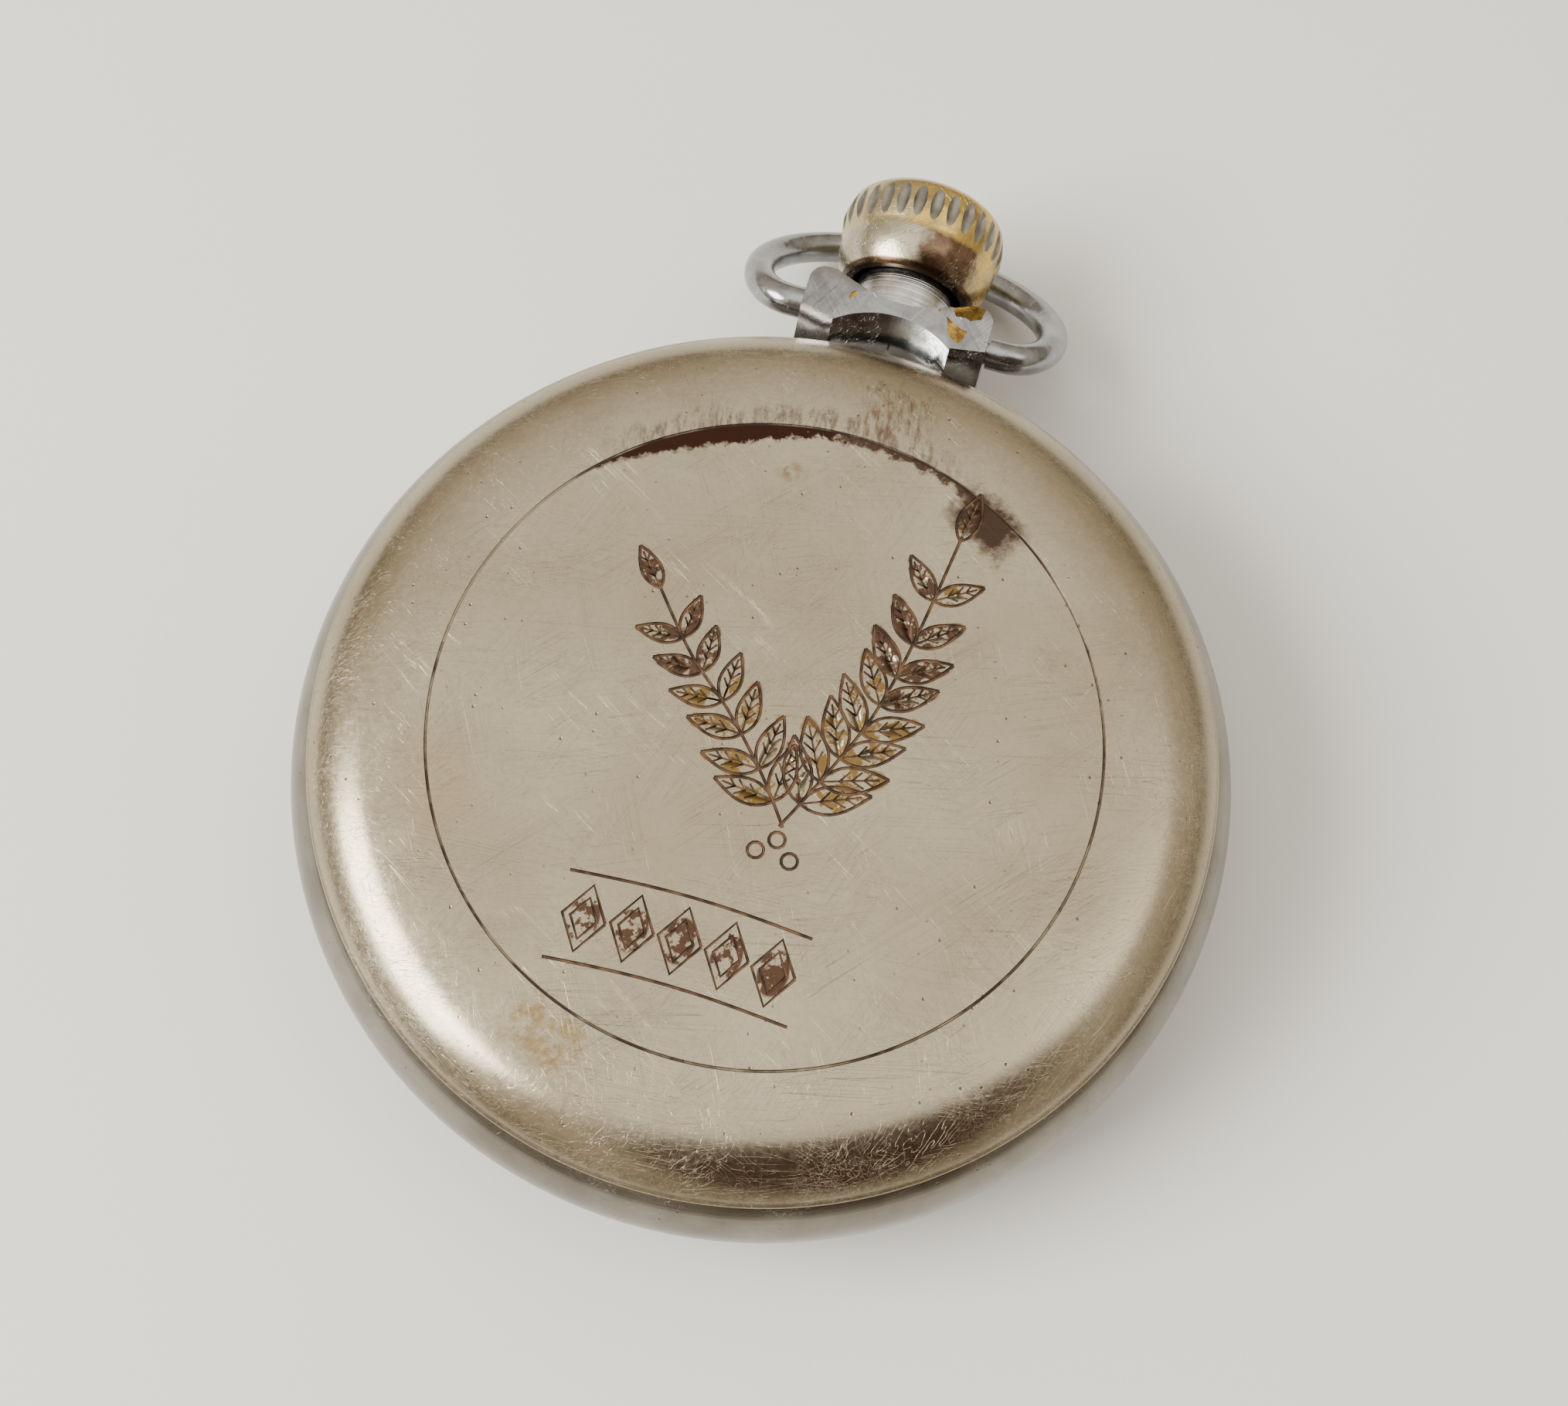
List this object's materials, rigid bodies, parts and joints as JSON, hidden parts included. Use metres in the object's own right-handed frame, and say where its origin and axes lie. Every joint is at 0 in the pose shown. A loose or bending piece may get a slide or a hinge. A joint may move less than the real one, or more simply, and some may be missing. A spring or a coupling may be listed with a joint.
{
  "type": "open face pocket watch",
  "caption": "Round open face pocket watch with a snap back, pendant block, oval bow, fluted winding crown, dial with small seconds, and a hand-wound pin lever movement.",
  "frame": {"origin": "on the case axis, at the flat front of the crystal, which the watch rests on", "axes": "+Z out of the back cover, +Y out through the pendant at 12 o'clock, +X to the right as the back is seen with the pendant up (9 o'clock on the dial)"},
  "size_m": [0.05, 0.0617, 0.0134],
  "materials": {
    "worn_nickel": "worn satin nickel plate with fine scratches and tarnish",
    "satin_nickel": "satin nickel plate",
    "chrome_plate": "chipped chrome plate over brass",
    "crystal": "clear polished crystal",
    "plated_brass": "gilt brass with worn nickel",
    "polished_steel": "polished steel",
    "screw_steel": "polished slotted steel screws",
    "dial_enamel": "aged cream lacquered dial",
    "hand_blue": "blued steel",
    "plate_nickel": "nickel plated brass plate",
    "train_brass": "grained brass",
    "copper": "copper",
    "spring_steel": "tempered spring steel"
  },
  "bodies": {
    "case": {"case_band": "satin_nickel", "pendant_block": "chrome_plate", "pendant_sleeve": "polished_steel", "dial": "dial_enamel", "dial_feet": "copper", "main_plate": "plate_nickel", "pillars": "train_brass", "top_plate": "plate_nickel", "plate_screws": "screw_steel", "case_screws": "screw_steel", "pallet_cock": "plate_nickel", "pallet_cock_screw": "screw_steel", "balance_cock": "plate_nickel", "hairspring_stud": "train_brass", "click_screw": "screw_steel", "click_spring": "polished_steel", "crown_wheel_screw": "screw_steel", "keyless_screws": "screw_steel", "yoke_spring": "polished_steel"},
    "back": {"back_cover": "worn_nickel"},
    "front": {"bezel": "satin_nickel", "crystal": "crystal"},
    "bow": {"bow": "chrome_plate"},
    "winding_pinion": {"winding_pinion": "polished_steel"},
    "stem": {"winding_stem": "polished_steel", "crown": "plated_brass"},
    "clutch": {"clutch_wheel": "polished_steel"},
    "setting_lever": {"setting_lever": "polished_steel"},
    "yoke": {"yoke": "polished_steel"},
    "crown_wheel": {"crown_wheel": "polished_steel"},
    "ratchet": {"ratchet_wheel": "polished_steel", "ratchet_screw": "screw_steel", "barrel_arbor": "polished_steel"},
    "barrel": {"barrel_drum": "train_brass", "barrel_cover": "train_brass", "mainspring": "spring_steel"},
    "center": {"center_wheel": "train_brass", "center_arbor": "polished_steel", "cannon_pinion": "polished_steel", "minute_hand": "hand_blue"},
    "third": {"third_wheel": "train_brass", "third_pinion": "polished_steel"},
    "fourth": {"fourth_wheel": "train_brass", "fourth_pinion": "polished_steel", "seconds_hand": "hand_blue"},
    "escape": {"escape_wheel": "train_brass", "escape_pinion": "polished_steel"},
    "minute_work": {"minute_wheel": "train_brass"},
    "hour": {"hour_wheel": "train_brass", "hour_hand": "hand_blue"},
    "setting_work": {"setting_wheel": "train_brass"},
    "pallet": {"pallet_lever": "polished_steel", "pallet_pins": "polished_steel", "pallet_arbor": "polished_steel"},
    "balance": {"balance_wheel": "train_brass", "balance_staff": "polished_steel", "roller": "polished_steel", "hairspring": "spring_steel"},
    "click": {"click": "polished_steel"},
    "regulator": {"regulator": "polished_steel"}
  },
  "joints": [
    {"name": "back_off", "type": "slide", "parent": "case", "child": "back", "axis": [0, 0, 1], "range_m": [0, 0.02]},
    {"name": "bezel_off", "type": "slide", "parent": "case", "child": "front", "axis": [0, 0, -1], "range_m": [0, 0.02]},
    {"name": "bow_swing", "type": "hinge", "parent": "case", "child": "bow", "pos_m": [0, 0.0272, 0.0078], "axis": [1, 0, 0], "range_deg": [-55, 135]},
    {"name": "winding_turn", "type": "hinge", "parent": "case", "child": "winding_pinion", "pos_m": [0, 0.0184, 0.0078], "axis": [0, 1, 0], "continuous": true},
    {"name": "crown_pull", "type": "slide", "parent": "winding_pinion", "child": "stem", "axis": [0, 1, 0], "range_m": [0, 0.001]},
    {"name": "clutch_shift", "type": "slide", "parent": "winding_pinion", "child": "clutch", "axis": [0, -1, 0], "range_m": [0, 0.001]},
    {"name": "setting_lever_swing", "type": "hinge", "parent": "case", "child": "setting_lever", "pos_m": [0.0032, 0.0196, 0.0078], "axis": [0, 0, 1], "range_deg": [-24, 0]},
    {"name": "yoke_swing", "type": "hinge", "parent": "case", "child": "yoke", "pos_m": [0.0046, 0.01613, 0.0078], "axis": [0, 0, 1], "range_deg": [0, 17]},
    {"name": "crown_wheel_turn", "type": "hinge", "parent": "case", "child": "crown_wheel", "pos_m": [0, 0.0139, 0.0078], "axis": [0, 0, 1], "continuous": true},
    {"name": "ratchet_turn", "type": "hinge", "parent": "case", "child": "ratchet", "pos_m": [-0.00737, 0.00516, 0.0078], "axis": [0, 0, 1], "continuous": true},
    {"name": "center_turn", "type": "hinge", "parent": "case", "child": "center", "pos_m": [0, 0, 0.0078], "axis": [0, 0, 1], "continuous": true},
    {"name": "barrel_turn", "type": "hinge", "parent": "case", "child": "barrel", "pos_m": [-0.00737, 0.00516, 0.0078], "axis": [0, 0, 1], "continuous": true},
    {"name": "third_turn", "type": "hinge", "parent": "case", "child": "third", "pos_m": [0.00351, -0.00523, 0.0078], "axis": [0, 0, 1], "continuous": true},
    {"name": "fourth_turn", "type": "hinge", "parent": "case", "child": "fourth", "pos_m": [0, -0.0095, 0.0078], "axis": [0, 0, 1], "continuous": true},
    {"name": "escape_turn", "type": "hinge", "parent": "case", "child": "escape", "pos_m": [0.00439, -0.01155, 0.0078], "axis": [0, 0, 1], "continuous": true},
    {"name": "minute_wheel_turn", "type": "hinge", "parent": "case", "child": "minute_work", "pos_m": [0, 0.0048, 0.0078], "axis": [0, 0, 1], "continuous": true},
    {"name": "hour_turn", "type": "hinge", "parent": "case", "child": "hour", "pos_m": [0, 0, 0.0078], "axis": [0, 0, 1], "continuous": true},
    {"name": "setting_wheel_turn", "type": "hinge", "parent": "case", "child": "setting_work", "pos_m": [0, 0.0112, 0.0078], "axis": [0, 0, 1], "continuous": true},
    {"name": "balance_swing", "type": "hinge", "parent": "case", "child": "balance", "pos_m": [0.012, -0.005, 0.0078], "axis": [0, 0, 1], "range_deg": [-135, 135], "stiffness_Nm_per_rad": 0.000001},
    {"name": "pallet_rock", "type": "hinge", "parent": "case", "child": "pallet", "pos_m": [0.00757, -0.00881, 0.0078], "axis": [0, 0, 1], "range_deg": [-4.5, 4.5]},
    {"name": "click_lift", "type": "hinge", "parent": "case", "child": "click", "pos_m": [-0.01545, 0.00222, 0.0078], "axis": [0, 0, 1], "range_deg": [-8, 0], "stiffness_Nm_per_rad": 0.0001},
    {"name": "regulator_shift", "type": "hinge", "parent": "case", "child": "regulator", "pos_m": [0.012, -0.005, 0.0078], "axis": [0, 0, 1], "range_deg": [-15, 15]}
  ],
  "couplings": [
    {"joint": "clutch_shift", "follows": "crown_pull", "ratio": 1},
    {"joint": "setting_lever_swing", "follows": "crown_pull", "rad_per_m": -406.66},
    {"joint": "yoke_swing", "follows": "crown_pull", "rad_per_m": 277.51},
    {"joint": "crown_wheel_turn", "follows": "winding_turn", "ratio": -0.4},
    {"joint": "ratchet_turn", "follows": "winding_turn", "ratio": 0.26087},
    {"joint": "barrel_turn", "follows": "center_turn", "ratio": -0.15385},
    {"joint": "third_turn", "follows": "center_turn", "ratio": -8},
    {"joint": "fourth_turn", "follows": "center_turn", "ratio": 60},
    {"joint": "escape_turn", "follows": "center_turn", "ratio": -600},
    {"joint": "minute_wheel_turn", "follows": "center_turn", "ratio": -0.33333},
    {"joint": "hour_turn", "follows": "center_turn", "ratio": 0.083333},
    {"joint": "setting_wheel_turn", "follows": "center_turn", "ratio": 0.42857}
  ]
}
